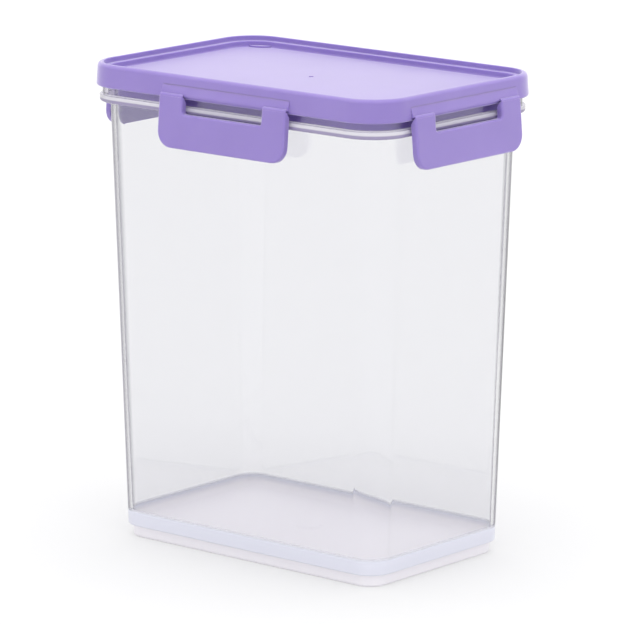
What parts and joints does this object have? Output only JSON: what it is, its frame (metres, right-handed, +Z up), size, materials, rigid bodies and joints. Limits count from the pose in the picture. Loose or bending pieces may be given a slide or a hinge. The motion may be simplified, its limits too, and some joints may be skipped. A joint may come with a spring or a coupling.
{
  "type": "food canister",
  "caption": "Clear tapered kitchen storage canister with an inset foot and a lilac lid held by clips on living hinges.",
  "frame": {"origin": "centre of the foot's underside, on the surface it stands on", "axes": "+Z up, +X along the long side, -Y is the front long side"},
  "size_m": [0.1576, 0.1076, 0.188],
  "materials": {
    "clear_tub": "clear moulded styrene walls, milky towards the foot",
    "lilac_lid": "satin moulded polypropylene in lilac",
    "seal_silicone": "soft translucent silicone"
  },
  "bodies": {
    "container": {"container": "clear_tub"},
    "lid": {"lid": "lilac_lid", "seal_ring": "seal_silicone", "front_left_strap": "lilac_lid", "front_right_strap": "lilac_lid", "right_left_strap": "lilac_lid", "right_right_strap": "lilac_lid", "back_left_strap": "lilac_lid", "back_right_strap": "lilac_lid", "left_left_strap": "lilac_lid", "left_right_strap": "lilac_lid"},
    "front_clip": {"front_clip": "lilac_lid"},
    "right_clip": {"right_clip": "lilac_lid"},
    "back_clip": {"back_clip": "lilac_lid"},
    "left_clip": {"left_clip": "lilac_lid"}
  },
  "joints": [
    {"name": "lid_lift", "type": "slide", "parent": "container", "child": "lid", "axis": [0, 0, 1], "range_m": [0, 0.066]},
    {"name": "front_clip_hinge", "type": "hinge", "parent": "lid", "child": "front_clip", "pos_m": [0, -0.05147, 0.18063], "axis": [-1, 0, 0], "range_deg": [0, 135], "deforming": ["front_left_strap", "front_right_strap"]},
    {"name": "right_clip_hinge", "type": "hinge", "parent": "lid", "child": "right_clip", "pos_m": [0.07647, 0, 0.18063], "axis": [0, -1, 0], "range_deg": [0, 135], "deforming": ["right_left_strap", "right_right_strap"]},
    {"name": "back_clip_hinge", "type": "hinge", "parent": "lid", "child": "back_clip", "pos_m": [0, 0.05147, 0.18063], "axis": [1, 0, 0], "range_deg": [0, 135], "deforming": ["back_left_strap", "back_right_strap"]},
    {"name": "left_clip_hinge", "type": "hinge", "parent": "lid", "child": "left_clip", "pos_m": [-0.07647, 0, 0.18063], "axis": [0, 1, 0], "range_deg": [0, 135], "deforming": ["left_left_strap", "left_right_strap"]}
  ]
}
